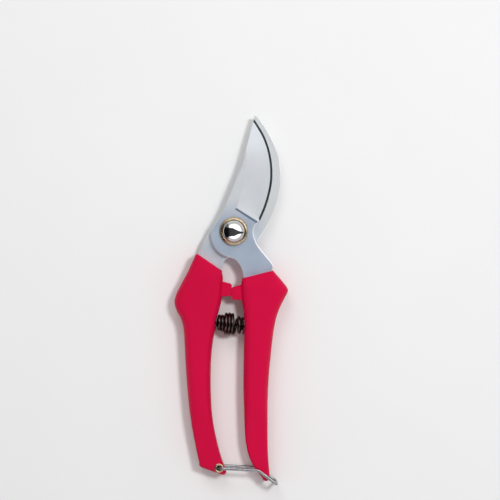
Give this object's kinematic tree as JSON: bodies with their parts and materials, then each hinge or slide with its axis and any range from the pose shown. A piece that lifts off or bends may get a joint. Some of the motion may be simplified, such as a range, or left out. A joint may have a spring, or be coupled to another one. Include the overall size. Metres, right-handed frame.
{
  "type": "pruning shears",
  "caption": "Bypass pruning shears with a curved cutting blade, a hook, moulded plastic grips, a barrel return spring and a swinging wire latch.",
  "frame": {"origin": "on the pivot axis, in the plane that the nut's end and the backs of both grips lie on", "axes": "+Z along the pivot axis towards the bolt head, +Y towards the tips, +X towards the grip of the cutting blade"},
  "size_m": [0.0563, 0.1823, 0.0148],
  "materials": {
    "hard_chrome_plate": "satin hard chrome over ground steel",
    "bright_chrome": "polished chrome",
    "brass": "bright brass",
    "zinc_steel": "zinc-plated steel",
    "crimson_plastic": "satin moulded plastic",
    "dark_spring_steel": "blackened spring steel",
    "bright_wire": "drawn steel wire"
  },
  "bodies": {
    "hook_side": {"hook_blade": "hard_chrome_plate", "hook_grip": "crimson_plastic", "pivot_bolt": "bright_chrome", "cup_washer": "brass", "flat_washer": "zinc_steel", "lock_washer": "zinc_steel", "pivot_nut": "zinc_steel", "hook_spring_seat": "dark_spring_steel", "return_spring": "dark_spring_steel", "latch_eyelet": "brass"},
    "blade_side": {"cutting_blade": "hard_chrome_plate", "blade_grip": "crimson_plastic", "blade_spring_seat": "dark_spring_steel"},
    "latch": {"latch_wire": "bright_wire"}
  },
  "joints": [
    {"name": "pivot", "type": "hinge", "parent": "hook_side", "child": "blade_side", "pos_m": [0, 0, 0.009], "axis": [0, 0, 1], "range_deg": [0, 28], "stiffness_Nm_per_rad": 2, "springref_deg": 28.65, "deforming": ["return_spring"]},
    {"name": "latch_swing", "type": "hinge", "parent": "hook_side", "child": "latch", "pos_m": [-0.0073, -0.1167, 0.007], "axis": [0, 0, 1], "range_deg": [-215, 40]}
  ]
}
